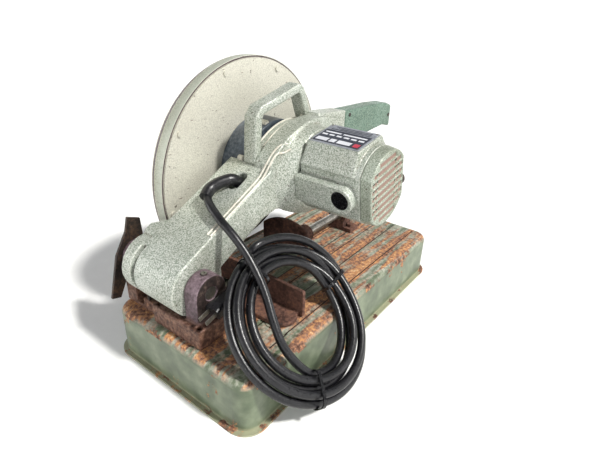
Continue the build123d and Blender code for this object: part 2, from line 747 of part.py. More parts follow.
with BuildPart() as inner_flange:
    tube_x(112.2, wheel_x - wheel_thick / 2, 38, arbor_r, spindle_y, spindle_z)
    tube_x(wheel_x - wheel_thick / 2 - 2, wheel_x - wheel_thick / 2, 30, arbor_r + 1, spindle_y, spindle_z)
save(inner_flange, "inner_flange")

with BuildPart() as cutting_wheel:
    tube_x(wheel_x - wheel_thick / 2, wheel_x + wheel_thick / 2, wheel_r, arbor_r, spindle_y, spindle_z)
save(cutting_wheel, "cutting_wheel")

with BuildPart() as outer_flange:
    tube_x(wheel_x + wheel_thick / 2, wheel_x + 8, 38, arbor_r, spindle_y, spindle_z)
save(outer_flange, "outer_flange")

with BuildPart() as wheel_bolt:
    with BuildSketch(side(wheel_x + 8)):
        with Locations((spindle_y, spindle_z)):
            Circle(15)
    extrude(amount=2)
    with BuildSketch(side(wheel_x + 10)):
        with Locations((spindle_y, spindle_z)):
            RegularPolygon(8.5, 6, major_radius=False)
    extrude(amount=8)
    tube_x(118.2, wheel_x + 8, 4.95, 0, spindle_y, spindle_z)
save(wheel_bolt, "wheel_bolt")

with BuildPart() as guard_plate:
    with BuildSketch(side(guard_plate_x[0])):
        with Locations((spindle_y, spindle_z)):
            Circle(guard_r - 0.4)
            Circle(24, mode=Mode.SUBTRACT)
        with Locations((spindle_y, guard_cut_z - 100)):
            Rectangle(500, 200, mode=Mode.SUBTRACT)
    extrude(amount=guard_plate_x[1] - guard_plate_x[0])
save(guard_plate, "guard_plate")

lip_r = guard_r + 3.5
with BuildPart() as guard_shell:
    with BuildSketch(Plane(origin=(0, spindle_y, spindle_z), x_dir=(1, 0, 0), z_dir=(0, -1, 0))):
        with BuildLine():
            Polyline((guard_plate_x[1] - 1, guard_r), (guard_plate_x[1] - 1, lip_r), (guard_plate_x[1] + 10, lip_r))
            ThreePointArc((guard_plate_x[1] + 10, lip_r), (guard_outer_x - 8, lip_r - 13), (guard_outer_x, lip_r - 38))
            Polyline((guard_outer_x, lip_r - 38), (guard_outer_x, 0), (guard_outer_x - 2.5, 0),
                     (guard_outer_x - 2.5, lip_r - 39))
            ThreePointArc((guard_outer_x - 2.5, lip_r - 39), (guard_outer_x - 10, lip_r - 15.5),
                          (guard_plate_x[1] + 9, guard_r))
            Line((guard_plate_x[1] + 9, guard_r), (guard_plate_x[1] - 1, guard_r))
        make_face()
    revolve(axis=Axis((0, spindle_y, spindle_z), (1, 0, 0)))
    with BuildSketch(side(0)):
        with Locations((spindle_y, guard_cut_z - 100)):
            Rectangle(500, 200)
    extrude(amount=200, mode=Mode.SUBTRACT)
save(guard_shell, "guard_shell")

cover_screw_angles = (25.0, 75.0, 125.0)
guard_screw_angles = (-8.0, 32.0, 72.0, 112.0, 152.0, 188.0)
with BuildPart() as case_screws:
    for angle in cover_screw_angles:
        y = cover_y + (cover_r + 1.2) * cos(radians(angle))
        z = cover_z + (cover_r + 1.2) * sin(radians(angle))
        with BuildSketch(side(case_x[2] + 4)):
            with Locations((y, z)):
                Circle(4.5)
        extrude(amount=10)
    cut_x(case_x[2], 70, cover_r + 0.05, cover_y, cover_z)
    for angle in guard_screw_angles:
        y = spindle_y + (guard_r - 10) * cos(radians(angle))
        z = spindle_z + (guard_r - 10) * sin(radians(angle))
        with BuildSketch(side(guard_plate_x[0])):
            with Locations((y, z)):
                Circle(4)
        extrude(amount=-2.2)
    add(arm_casting.part, mode=Mode.SUBTRACT)
save(case_screws, "case_screws")

# ---------------------------------------------------------------- switch handle
grip_mid_x = sum(grip_x) / 2
grip_outline = [(grip_rear_y - 0.3, 326.0), (-250.0, 321.5), (-300.0, 317.0), (grip_front_y, 310.0),
                (grip_front_y, 267.0), (-290.0, 274.0), (-222.0, 270.0), (-196.0, 262.0), (grip_rear_y - 0.3, 268.0)]
trigger_y = (-214.0, -160.0)


with BuildPart() as grip_right:
    with BuildSketch(side(grip_x[0])):
        with BuildLine():
            Polyline(*grip_outline, close=True)
        make_face()
    extrude(amount=grip_mid_x - 0.1 - grip_x[0])
    fillet(grip_right.faces().sort_by(Axis.X)[0].edges(), 4)
    with BuildSketch(side(grip_x[0] + 4)):
        with BuildLine():
            Polyline(*grip_outline, close=True)
        make_face()
        offset(amount=-4)
    extrude(amount=40, mode=Mode.SUBTRACT)
    with BuildSketch(side(grip_x[0] + 5)):
        with Locations((sum(trigger_y) / 2, 262.0)):
            Rectangle(trigger_y[1] - trigger_y[0], 24.0)
        with Locations((grip_rear_y, 306.0)):
            Rectangle(12.0, 29.0)
    extrude(amount=40, mode=Mode.SUBTRACT)
save(grip_right, "grip_right")

with BuildPart() as grip_left:
    with BuildSketch(side(grip_mid_x + 0.1)):
        with BuildLine():
            Polyline(*grip_outline, close=True)
        make_face()
    extrude(amount=grip_x[1] - grip_mid_x - 0.1)
    fillet(grip_left.faces().sort_by(Axis.X)[-1].edges(), 4)
    with BuildSketch(side(grip_x[1] - 4)):
        with BuildLine():
            Polyline(*grip_outline, close=True)
        make_face()
        offset(amount=-4)
    extrude(amount=-40, mode=Mode.SUBTRACT)
    with BuildSketch(side(grip_x[1] - 5)):
        with Locations((sum(trigger_y) / 2, 262.0)):
            Rectangle(trigger_y[1] - trigger_y[0], 24.0)
        with Locations((grip_rear_y, 306.0)):
            Rectangle(12.0, 29.0)
    extrude(amount=-40, mode=Mode.SUBTRACT)
    cut_x(grip_x[1] - 6, grip_x[1] + 1, 6.2, -228.0, 296.0)
save(grip_left, "grip_left")

grip_screw_places = [(-156.0, 317.0), (-158.0, 289.0), (-308.0, 292.0)]
with BuildPart() as grip_screws:
    for y, z in grip_screw_places:
        with BuildSketch(side(grip_x[0] - 0.8)):
            with Locations((y, z)):
                Circle(3.6)
        extrude(amount=0.8)
save(grip_screws, "grip_screws")

with BuildPart() as switch_body:
    with BuildSketch(side(grip_x[0] + 6)):
        with Locations((-192.0, 301.0)):
            Rectangle(38.0, 22.0)
    extrude(amount=grip_x[1] - grip_x[0] - 12)
save(switch_body, "switch_body")

trigger_pivot = (-164.0, 277.0)
with BuildPart() as trigger:
    with BuildSketch(side(grip_x[0] + 6.5)):
        with BuildLine():
            Polyline((-161.0, 281.0), (-161.0, 262.0), (-178.0, 254.0), (-198.0, 252.0), (-211.0, 258.0),
                     (-211.0, 276.0), (-190.0, 280.0), (-161.0, 281.0))
        make_face()
    extrude(amount=grip_x[1] - grip_x[0] - 13)
    cut_x(0, 60, 2.05, *trigger_pivot)
save(trigger, "trigger")

with BuildPart() as trigger_pin:
    tube_x(grip_x[0] + 4.1, grip_x[1] - 4.1, 2.0, 0, *trigger_pivot)
save(trigger_pin, "trigger_pin")

with BuildPart() as lock_button:
    tube_x(grip_x[1] - 5.8, grip_x[1] + 5, 6.0, 0, -228.0, 296.0)
    tube_x(grip_x[1] - 8, grip_x[1] - 5.8, 8.0, 0, -228.0, 296.0)
save(lock_button, "lock_button")

# ---------------------------------------------------------------- cord
guard_route = [(35.0, 97.0, 254.0), (38.0, 108.0, 262.0), (46.0, 125.0, 259.5), (51.0, 141.0, 253.0),
               (45.0, 154.5, 246.0)]
lead_route = [(45.0, 154.5, 246.0), (28.0, 162.0, 241.0), (-5.0, 173.5, 232.0), (-28.0, 174.5, 220.0),
              (-48.0, 173.5, 202.5)]
cross_route = [(-49.3, 173.6, 201.3), (-66.0, 175.5, 186.5), (-90.3, 180.5, 160.4), (-116.5, 193.5, 128.0),
               (-139.0, 199.0, 99.3), (-163.6, 196.7, 70.7)]
tail_route = [(-32.6, 155.8, 173.0), (-35.5, 173.0, 163.5), (-41.0, 186.0, 153.5), (-46.0, 198.7, 145.9)]


def arc_radii(route):
    """Radius of the arc at each inner point: 0.45 of its shorter run over the tangent of half its turn."""
    points = [Vector(*p) for p in route]
    radii = []
    for a, b, c in zip(points, points[1:], points[2:]):
        shorter = min((b - a).length, (c - b).length)
        turn = radians((b - a).get_angle(c - b))
        radii.append(0.45 * shorter / tan(turn / 2))
    return radii


def cord_tube(name, route, diameter):
    radii = arc_radii(route)
    with BuildPart() as tube_part:
        with BuildLine() as path:
            FilletPolyline(*route, radius=radii)
        start = path.line @ 0
        heading = path.line % 0
        with BuildSketch(Plane(origin=start, z_dir=heading)):
            Circle(diameter / 2)
        sweep()
    length = path.wires()[0].length
    ideal = pi * diameter ** 2 / 4 * length
    print(name, "length", round(length, 1), "radii", [round(r) for r in radii],
          "volume ratio", round(tube_part.part.volume / ideal, 4))
    save(tube_part, name)


cord_tube("cord_guard", guard_route, 18.0)
cord_tube("cord_lead", lead_route, cord_d)
cord_tube("cord_cross", cross_route, cord_d)
cord_tube("cord_tail", tail_route, cord_d)

tilt = radians(coil_tilt)
coil_up = (cos(tilt), 0, sin(tilt))
coil_normal = (-sin(tilt), 0, cos(tilt))
coil_plane = Plane(origin=coil_centre, x_dir=coil_up, z_dir=coil_normal)

with BuildPart() as coil_part:
    with BuildSketch(Plane(origin=coil_centre, x_dir=coil_up, z_dir=coil_plane.y_dir * -1)):
        with Locations(((coil_outer_r + coil_inner_r) / 2, 0)):
            RectangleRounded(coil_outer_r - coil_inner_r, coil_thick, 9)
    revolve(axis=Axis(coil_centre, coil_normal))
save(coil_part, "cord_coil")

tie_angles = (16.0, -80.0, 151.0)
with BuildPart() as cord_ties:
    for angle in tie_angles:
        c = cos(radians(angle))
        s = sin(radians(angle))
        radial = (coil_plane.x_dir * c + coil_plane.y_dir * s)
        mid = Vector(*coil_centre) + radial * ((coil_outer_r + coil_inner_r) / 2)
        tie_plane = Plane(origin=mid, x_dir=radial, z_dir=coil_plane.y_dir * c - coil_plane.x_dir * s)
        with BuildSketch(tie_plane):
            RectangleRounded(coil_outer_r - coil_inner_r + 3.4, coil_thick + 3.4, 9.5)
            RectangleRounded(coil_outer_r - coil_inner_r + 0.2, coil_thick + 0.2, 9, mode=Mode.SUBTRACT)
        extrude(amount=2.4, both=True)
save(cord_ties, "cord_ties")

# plug, between the coil and the right ear
plug_middle = Vector(-46.0, 216.0, 140.4)
plug_way = Vector(0.0, 0.96, -0.28).normalized()
plug_half = 18.0
plug_plane = Plane(origin=plug_middle, x_dir=(1, 0, 0), z_dir=plug_way)
with BuildPart() as plug_body:
    with BuildSketch(plug_plane.offset(-plug_half)):
        RectangleRounded(17.0, 16.0, 6)
    with BuildSketch(plug_plane.offset(plug_half)):
        RectangleRounded(25.0, 18.0, 6)
    loft()
save(plug_body, "plug_body")

with BuildPart() as plug_blades:
    with BuildSketch(plug_plane.offset(plug_half)):
        with Locations((6.35, 0), (-6.35, 0)):
            Rectangle(1.5, 6.4)
    extrude(amount=18)
save(plug_blades, "plug_blades")
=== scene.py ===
# %% [markdown]
# # An old bench cut-off saw
# A cut-off saw drives an abrasive wheel through steel stock. Its head, with the motor, gears, guard and
# switch handle, hangs on a hinged arm over a pressed-steel base. The working parts come ready made from the
# CAD frame, in metres. This lesson gives them their castings' soft edges, their paint and their rust, and
# it lays the cord.

# %% Load the frame
import bpy
import bmesh
import math
from mathutils import Matrix, Vector
from mathutils import noise as value_noise
from mathutils.bvhtree import BVHTree


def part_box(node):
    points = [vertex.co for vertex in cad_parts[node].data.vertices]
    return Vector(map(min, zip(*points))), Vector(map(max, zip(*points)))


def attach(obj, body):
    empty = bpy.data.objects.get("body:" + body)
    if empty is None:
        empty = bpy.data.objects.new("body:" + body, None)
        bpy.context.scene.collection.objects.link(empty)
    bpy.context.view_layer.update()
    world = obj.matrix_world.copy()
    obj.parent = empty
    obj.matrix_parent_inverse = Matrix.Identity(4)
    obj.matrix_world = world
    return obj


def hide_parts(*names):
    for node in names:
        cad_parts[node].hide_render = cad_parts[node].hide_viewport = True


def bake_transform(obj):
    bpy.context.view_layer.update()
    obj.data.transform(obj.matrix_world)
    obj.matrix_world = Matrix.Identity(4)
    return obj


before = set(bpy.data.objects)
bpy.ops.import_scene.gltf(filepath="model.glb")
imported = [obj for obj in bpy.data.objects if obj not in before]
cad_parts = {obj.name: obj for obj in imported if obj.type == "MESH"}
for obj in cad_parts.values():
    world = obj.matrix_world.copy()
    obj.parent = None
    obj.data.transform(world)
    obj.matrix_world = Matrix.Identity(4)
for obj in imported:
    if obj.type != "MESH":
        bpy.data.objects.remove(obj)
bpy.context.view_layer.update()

# %% [markdown]
# ## Camera, light and floor
# The camera looks down on the saw's rear right corner, from less than a metre away, so the near corner of
# the base looks large. A soft sun comes over the saw's right side and gives the guard its soft shadow. A
# weak lamp fills from behind, and the world and a lit ring of backdrop give the rest. Floor and backdrop
# are staged: they aren't part of the saw.

# %% Place the camera
RIGHT = Vector((-0.7922, -0.6096, 0.0291))
UP = Vector((0.2979, -0.3432, 0.8908))
BACK = RIGHT.cross(UP)
camera_data = bpy.data.cameras.new("camera")
camera_data.sensor_width = 36.0
camera_data.lens = 27.09
camera_data.clip_start = 0.02
camera = bpy.data.objects.new("camera", camera_data)
bpy.context.scene.collection.objects.link(camera)
CAMERA_PLACE = (-0.4141, 0.5431, 0.505)
turned = Matrix((RIGHT, UP, BACK)).transposed().to_4x4()
camera.matrix_world = Matrix.Translation(CAMERA_PLACE) @ turned
bpy.context.scene.camera = camera
print("camera looks along", tuple(round(v, 3) for v in -BACK))

# %% Light the bench
def area_light(name, place, aim, size, watts, colour):
    data = bpy.data.lights.new(name, "AREA")
    data.size = size
    data.energy = watts
    data.color = colour
    lamp = bpy.data.objects.new(name, data)
    bpy.context.scene.collection.objects.link(lamp)
    lamp.location = place
    lamp.rotation_euler = (Vector(aim) - Vector(place)).to_track_quat("-Z", "Y").to_euler()


area_light("rear_fill", (-0.3, 1.9, 1.3), (0.0, 0.1, 0.15), 1.6, 3.5, (0.98, 0.99, 1.0))
sun_data = bpy.data.lights.new("window_sun", "SUN")
sun_data.energy = 4.1
sun_data.angle = math.radians(6.0)
sun_data.color = (1.0, 0.985, 0.95)
sun = bpy.data.objects.new("window_sun", sun_data)
bpy.context.scene.collection.objects.link(sun)
SUN_WAY = Vector((0.62, 0.13, -0.77))
sun.rotation_euler = SUN_WAY.to_track_quat("-Z", "Y").to_euler()
world = bpy.data.worlds.new("pale_room")
world.use_nodes = True
world.node_tree.nodes["Background"].inputs["Color"].default_value = (0.95, 0.97, 1.0, 1.0)
world.node_tree.nodes["Background"].inputs["Strength"].default_value = 0.32
bpy.context.scene.world = world
bpy.context.scene.view_settings.view_transform = "Standard"
bpy.context.scene.view_settings.look = "None"

# %% Lay the floor
FLOOR_HALF = 40
RING_RADIUS = 30.0
RING_SIDES = 48
RING_LOW, RING_HIGH = -1.0, 9.0
floor_mesh = bpy.data.meshes.new("floor")
floor_mesh.from_pydata([(-FLOOR_HALF, -FLOOR_HALF, 0), (FLOOR_HALF, -FLOOR_HALF, 0),
                        (FLOOR_HALF, FLOOR_HALF, 0),
                        (-FLOOR_HALF, FLOOR_HALF, 0)], [], [(0, 1, 2, 3)])
floor = bpy.data.objects.new("floor", floor_mesh)
bpy.context.scene.collection.objects.link(floor)
sheet_mesh = bpy.data.meshes.new("backdrop")
turns = [math.tau * i / RING_SIDES for i in range(RING_SIDES)]
ring = [(RING_RADIUS * math.cos(turn), RING_RADIUS * math.sin(turn)) for turn in turns]
sheet_mesh.from_pydata([(x, y, z) for z in (RING_LOW, RING_HIGH) for x, y in ring], [],
                       [((i + 1) % RING_SIDES, i, RING_SIDES + i, RING_SIDES + (i + 1) % RING_SIDES)
                        for i in range(RING_SIDES)])
backdrop = bpy.data.objects.new("backdrop", sheet_mesh)
bpy.context.scene.collection.objects.link(backdrop)
backdrop_paper = bpy.data.materials.new("lit_backdrop_paper")
backdrop_paper.use_nodes = True
lit = backdrop_paper.node_tree.nodes["Principled BSDF"]
lit.inputs["Emission Color"].default_value = (1.0, 1.0, 1.0, 1.0)
lit.inputs["Emission Strength"].default_value = 1.0
sheet_mesh.materials.append(backdrop_paper)
print("floor", 2 * FLOOR_HALF, "m across, backdrop ring", RING_RADIUS, "m away")

# %% [markdown]
# ## The cord
# A saw's lead is black rubber over copper, 12 mm thick, and it only bends in wide curves. Here it leaves
# the end of a guard on the arm's top, drops over the arm's edge, crosses its own coil, is wound about five
# times and ends in the plug beside the arm's pivot. One NURBS spline carries the whole
# route. Three ties hold the turns close, and between them the turns differ in size and lie loose.

# %% Route the lead from the arm to the coil
CORD = 0.012
guard_route = [(0.0505, 0.1390, 0.2540), (0.0450, 0.1520, 0.2470)]
lead_route = [(0.0280, 0.1620, 0.2410), (-0.0050, 0.1735, 0.2320), (-0.0280, 0.1745, 0.2200),
              (-0.0480, 0.1735, 0.2025)]
cross_route = [(-0.0660, 0.1755, 0.1865), (-0.0903, 0.1805, 0.1604), (-0.1165, 0.1935, 0.1280),
               (-0.1390, 0.1990, 0.0993)]
tail_route = [(-0.0355, 0.1730, 0.1635), (-0.0410, 0.1860, 0.1535), (-0.0460, 0.1987, 0.1459),
              (-0.0460, 0.2080, 0.1430)]

COIL_CENTRE = Vector((-0.1221, 0.1402, 0.1064))
COIL_TILT = math.radians(42.8)
coil_up = Vector((math.cos(COIL_TILT), 0.0, math.sin(COIL_TILT)))
coil_out = Vector((-math.sin(COIL_TILT), 0.0, math.cos(COIL_TILT)))
coil_side = coil_out.cross(coil_up)


def on_coil(angle, radius, height):
    """A point on the coil: degrees from its top, radius, height over the coil's plane."""
    a = math.radians(angle)
    return COIL_CENTRE + (coil_up * math.cos(a) + coil_side * math.sin(a)) * radius + coil_out * height


# %% Wind the coil's turns
JOIN_ANGLE = 146.0
LEAVE_ANGLE = 4.0
TURNS = 4
STEP_ANGLE = 18.0
SHIFT = (250.0, 345.0)      # where each turn moves out to its next place
TIES = (16.0, 280.0, 151.0)


def smooth(t):
    t = min(max(t, 0.0), 1.0)
    return t * t * (3 - 2 * t)


def turn_place(total):
    """Radius and height of the strand after total degrees from the coil's top."""
    turn, angle = divmod(total, 360.0)
    place = turn + smooth((angle - SHIFT[0]) / (SHIFT[1] - SHIFT[0]))
    moving = 1.0 - abs(2.0 * smooth((angle - SHIFT[0]) / (SHIFT[1] - SHIFT[0])) - 1.0)
    spread = 0.0090 + 0.0028 * moving
    held = max(math.exp(-((angle - tie + 180.0) % 360.0 - 180.0) ** 2 / 900.0) for tie in TIES)
    loose = (1.0 - held) * value_noise.noise(Vector((total / 100.0, place * 1.7, 4.2)))
    radius = 0.0758 + spread * place + 0.004 * loose
    height = -0.0052 * math.cos(math.pi * place) + 0.003 * loose
    return radius, height


coil_route = []
last_total = 360.0 * (TURNS + 1) + LEAVE_ANGLE
total = JOIN_ANGLE
while total < last_total:
    radius, height = turn_place(total)
    joining = math.exp(-((total - JOIN_ANGLE) / 28.0) ** 2)
    coil_route.append(on_coil(total, radius, height + 0.004 * joining))
    total += STEP_ANGLE
coil_route.append(on_coil(LEAVE_ANGLE, 0.1125, -0.0105))
head_route = [Vector(p) for p in guard_route + lead_route + cross_route]
route = head_route + coil_route + [Vector(p) for p in tail_route]
print("coil points", len(coil_route), "route points", len(route))


# %% Draw the spline and its tube
def spline_object(name, points, radius):
    curve = bpy.data.curves.new(name, "CURVE")
    curve.dimensions = "3D"
    spline = curve.splines.new("NURBS")
    spline.points.add(len(points) - 1)
    for target, point in zip(spline.points, points):
        target.co = (*point, 1.0)
    spline.order_u = 3
    spline.use_endpoint_u = True
    curve.resolution_u = 8
    curve.bevel_depth = radius
    curve.bevel_resolution = 5
    curve.use_fill_caps = True
    line = bpy.data.objects.new(name, curve)
    bpy.context.scene.collection.objects.link(line)
    return line


def baked(source, name):
    """A plain mesh piece from an object with its modifiers and curves worked out."""
    bpy.context.view_layer.update()
    mesh = bpy.data.meshes.new_from_object(source.evaluated_get(bpy.context.evaluated_depsgraph_get()))
    mesh.name = name
    bpy.data.objects.remove(source)
    piece = bpy.data.objects.new(name, mesh)
    bpy.context.scene.collection.objects.link(piece)
    return piece


def spline_points(points):
    """The smooth line of a route, read from its NURBS spline."""
    line = spline_object("line", points, 0.0)
    line.data.use_fill_caps = False
    mesh_piece = baked(line, "line")
    path = [v.co.copy() for v in mesh_piece.data.vertices]
    bpy.data.objects.remove(mesh_piece)
    return path


cord_path = spline_points(route)
cord = baked(spline_object("power_cord", route, CORD / 2), "power_cord")
for polygon in cord.data.polygons:
    polygon.use_smooth = True
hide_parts("cord_lead", "cord_cross", "cord_coil", "cord_tail")
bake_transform(cord)

# %% [markdown]
# ## Finishes
# The head is cast aluminium under hammertone enamel: silver flake in green lacquer that shrinks into tiny
# dimples as it dries. The base is pressed steel whose green enamel has worn off its top, so rust spreads
# there and along the edges. Each finish is a node tree on object coordinates, so it lies on the piece like
# real paint and goes where the piece goes.

# %% Two small helpers for node trees
def paint(hex_value):
    """Linear colour of an sRGB hex value."""
    parts = [int(hex_value[i:i + 2], 16) / 255.0 for i in (0, 2, 4)]
    return (*[c / 12.92 if c <= 0.04045 else ((c + 0.055) / 1.055) ** 2.4 for c in parts], 1.0)


def add_node(tree, kind, sockets=None, stops=(), **settings):
    """Adds a node with its settings, socket values or links and colour stops. Returns its outputs."""
    made = tree.nodes.new(kind)
    for key, value in settings.items():
        setattr(made, key, value)
    for key, value in (sockets or {}).items():
        if isinstance(value, bpy.types.NodeSocket):
            tree.links.new(value, made.inputs[key])
        else:
            made.inputs[key].default_value = value
    if stops:
        elements = made.color_ramp.elements
        for position, value in stops:
            elements.new(position).color = paint(value)
        elements.remove(elements[0])
        elements.remove(elements[-1])
    return made.outputs


def new_finish(name, metallic, roughness):
    """A new material with its tree, its shader and the object coordinates."""
    material = bpy.data.materials.new(name)
    material.use_nodes = True
    shader = material.node_tree.nodes["Principled BSDF"]
    shader.inputs["Metallic"].default_value = metallic
    shader.inputs["Roughness"].default_value = roughness
    return material, material.node_tree, shader, add_node(material.node_tree, "ShaderNodeTexCoord")["Object"]


# %% [markdown]
# ### Hammertone enamel
# Dimples are 1 to 2 mm across and are drawn 1.8 mm across. Flake between the dimples is a finer, brighter
# grain. Edges that hands and boxes rub are paler, and the hollows keep a brown film of grinding dust.

# %% Mix the hammertone
def hammertone(name, deep, mid, pale, film, rubbed_tone="dcdcd2", shine=0.40):
    material, tree, shader, place = new_finish(name, 0.30, shine)
    dimples = add_node(tree, "ShaderNodeTexVoronoi", {"Vector": place, "Scale": 560.0},
                       feature="SMOOTH_F1")[0]
    flake = add_node(tree, "ShaderNodeTexNoise", {"Vector": place, "Scale": 1100.0, "Detail": 3.0})[0]
    tone = add_node(tree, "ShaderNodeMath", {0: dimples, 1: 0.62}, operation="MULTIPLY")[0]
    tone = add_node(tree, "ShaderNodeMath", {0: flake, 1: 0.62, 2: tone}, operation="MULTIPLY_ADD")[0]
    colour = add_node(tree, "ShaderNodeValToRGB", {0: tone}, [(0.40, pale), (0.53, mid), (0.68, deep)])[0]
    patch = add_node(tree, "ShaderNodeTexNoise", {"Vector": place, "Scale": 11.0, "Detail": 6.0})[0]
    patch = add_node(tree, "ShaderNodeMapRange", {0: patch, 1: 0.40, 2: 0.70, 4: 0.55})[0]
    colour = add_node(tree, "ShaderNodeMix", {0: patch, 6: colour, 7: paint(film)}, data_type="RGBA",
                      blend_type="MULTIPLY")[2]
    edge = add_node(tree, "ShaderNodeNewGeometry")["Pointiness"]
    break_up = add_node(tree, "ShaderNodeTexNoise", {"Vector": place, "Scale": 70.0, "Detail": 5.0})[0]
    edge = add_node(tree, "ShaderNodeMath", {0: break_up, 1: 0.05, 2: edge}, operation="MULTIPLY_ADD")[0]
    rubbed = add_node(tree, "ShaderNodeMapRange", {0: edge, 1: 0.550, 2: 0.600, 4: 0.6})[0]
    colour = add_node(tree, "ShaderNodeMix", {0: rubbed, 6: colour, 7: paint(rubbed_tone)},
                      data_type="RGBA")[2]
    hollow = add_node(tree, "ShaderNodeMapRange", {0: edge, 1: 0.515, 2: 0.480, 4: 0.55})[0]
    colour = add_node(tree, "ShaderNodeMix", {0: hollow, 6: colour, 7: paint("5d5142")}, data_type="RGBA")[2]
    speck = add_node(tree, "ShaderNodeTexNoise", {"Vector": place, "Scale": 120.0, "Detail": 2.0})[0]
    speck = add_node(tree, "ShaderNodeMapRange", {0: speck, 1: 0.71, 2: 0.745, 4: 0.75})[0]
    colour = add_node(tree, "ShaderNodeMix", {0: speck, 6: colour, 7: paint("4a3d33")}, data_type="RGBA")[2]
    tree.links.new(colour, shader.inputs["Base Color"])
    rough = add_node(tree, "ShaderNodeMapRange", {0: tone, 1: 0.3, 2: 0.8, 3: shine - 0.08,
                                                  4: shine + 0.20})[0]
    tree.links.new(rough, shader.inputs["Roughness"])
    normal = add_node(tree, "ShaderNodeBump", {"Height": tone, "Strength": 0.6, "Distance": 0.0005})[0]
    tree.links.new(normal, shader.inputs["Normal"])
    return material, tree, shader, place, colour


green_hammertone = hammertone("green_hammertone", "8d9689", "bbc0b7", "dadcd6", "bdbaab")[0]
teal_hammertone = hammertone("teal_hammertone", "55705f", "71897a", "90a598", "9aa092")[0]
print("hammertone on", green_hammertone.name, teal_hammertone.name)

# %% Age the guard: a pale green rim, a brown seam inside it, short dark marks
wheel_low, wheel_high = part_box("cutting_wheel")
guard_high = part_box("guard_shell")[1]
WHEEL_AXIS = (0.0, -(wheel_low[1] + wheel_high[1]) / 2, -(wheel_low[2] + wheel_high[2]) / 2)
guard_radius = guard_high[2] + WHEEL_AXIS[2]
guard_hammertone, tree, shader, place, colour = hammertone("guard_hammertone", "7d725b", "b4ad98", "d0caba",
                                                           "c9bda2")
flat = add_node(tree, "ShaderNodeMapping", {"Vector": place, "Location": WHEEL_AXIS,
                                            "Scale": (0.0, 1.0, 1.0)})[0]
out = add_node(tree, "ShaderNodeVectorMath", {0: flat}, operation="LENGTH")["Value"]
rim = add_node(tree, "ShaderNodeMapRange", {0: out, 1: guard_radius - 0.0012, 2: guard_radius - 0.0004,
                                            4: 0.6})[0]
colour = add_node(tree, "ShaderNodeMix", {0: rim, 6: colour, 7: paint("a9b2a4")}, data_type="RGBA")[2]
seam = add_node(tree, "ShaderNodeMath", {0: out, 1: guard_radius - 0.0021, 2: 0.0010}, operation="COMPARE")[0]
colour = add_node(tree, "ShaderNodeMix", {0: seam, 6: colour, 7: paint("45363c")}, data_type="RGBA")[2]
short = add_node(tree, "ShaderNodeMapping", {"Vector": place, "Rotation": (0.6, 0.0, 0.0),
                                             "Scale": (1.0, 90.0, 420.0)})[0]
marks = add_node(tree, "ShaderNodeTexNoise", {"Vector": short, "Scale": 1.0, "Detail": 1.0})[0]
marks = add_node(tree, "ShaderNodeMapRange", {0: marks, 1: 0.725, 2: 0.745, 4: 0.7})[0]
colour = add_node(tree, "ShaderNodeMix", {0: marks, 6: colour, 7: paint("5b3f38")}, data_type="RGBA")[2]
tree.links.new(colour, shader.inputs["Base Color"])
print("guard radius", round(guard_radius, 4))

# %% Put dust in the end cover's grooves
cover_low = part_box("end_cover")[0]
cover_hammertone, tree, shader, place, colour = hammertone("cover_hammertone", "858e7f", "a5ad9f", "c2c7bc",
                                                           "b7b4a2")
depth = add_node(tree, "ShaderNodeSeparateXYZ", {0: place})["X"]
inside = add_node(tree, "ShaderNodeMapRange", {0: depth, 1: cover_low[0] + 0.0012,
                                               2: cover_low[0] + 0.0022})[0]
behind = add_node(tree, "ShaderNodeMapRange", {0: depth, 1: cover_low[0] + 0.0062, 2: cover_low[0] + 0.0072,
                                               3: 1.0,
                                               4: 0.0})[0]
flat = add_node(tree, "ShaderNodeNewGeometry")["Normal"]
flat = add_node(tree, "ShaderNodeSeparateXYZ", {0: flat})["X"]
facing = add_node(tree, "ShaderNodeMapRange", {0: flat, 1: -0.45, 2: -0.75})[0]
dust = add_node(tree, "ShaderNodeMath", {0: inside, 1: behind}, operation="MULTIPLY")[0]
dust = add_node(tree, "ShaderNodeMath", {0: dust, 1: facing}, operation="MULTIPLY")[0]
colour = add_node(tree, "ShaderNodeMix", {0: dust, 6: colour, 7: paint("8f7468")}, data_type="RGBA")[2]
tree.links.new(colour, shader.inputs["Base Color"])
print("dust starts at", round(cover_low[0] + 0.0012, 4))

# %% [markdown]
# ### Rust over worn enamel
# The base's top is ribbed sheet. Stock and tools dragged along it took the enamel off the ribs, so the
# top is a run of lengthwise strips of green, pale primer, brown and orange rust with grooves between
# them, whose shade is painted in as dark lines. The walls keep their green, rusting where edges and spots are
# chipped.

# %% Mix the base's enamel
base_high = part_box("base_pan")[1]
base_enamel, tree, shader, place = new_finish("worn_rusted_enamel", 0.0, 0.5)
split = add_node(tree, "ShaderNodeSeparateXYZ", {0: place})
blotch = add_node(tree, "ShaderNodeTexNoise", {"Vector": place, "Scale": 22.0, "Detail": 8.0,
                                               "Roughness": 0.66})[0]
fine = add_node(tree, "ShaderNodeTexNoise", {"Vector": place, "Scale": 170.0, "Detail": 7.0,
                                             "Roughness": 0.75})[0]
along = add_node(tree, "ShaderNodeMapping", {"Vector": place, "Scale": (58.0, 5.0, 20.0)})[0]
strip = add_node(tree, "ShaderNodeTexNoise", {"Vector": along, "Scale": 1.0, "Detail": 5.0,
                                              "Roughness": 0.6})[0]
on_top = add_node(tree, "ShaderNodeMapRange", {0: split["Z"], 1: base_high[2] - 0.0105,
                                               2: base_high[2] - 0.0040})[0]
bare = add_node(tree, "ShaderNodeMath", {0: blotch, 1: 0.45, 2: strip}, operation="MULTIPLY_ADD")[0]
bare = add_node(tree, "ShaderNodeMapRange", {0: bare, 1: 0.64, 2: 0.73})[0]
bare = add_node(tree, "ShaderNodeMath", {0: bare, 1: on_top}, operation="MULTIPLY")[0]
low_edge = add_node(tree, "ShaderNodeMapRange", {0: split["Z"], 1: 0.010, 2: 0.003})[0]
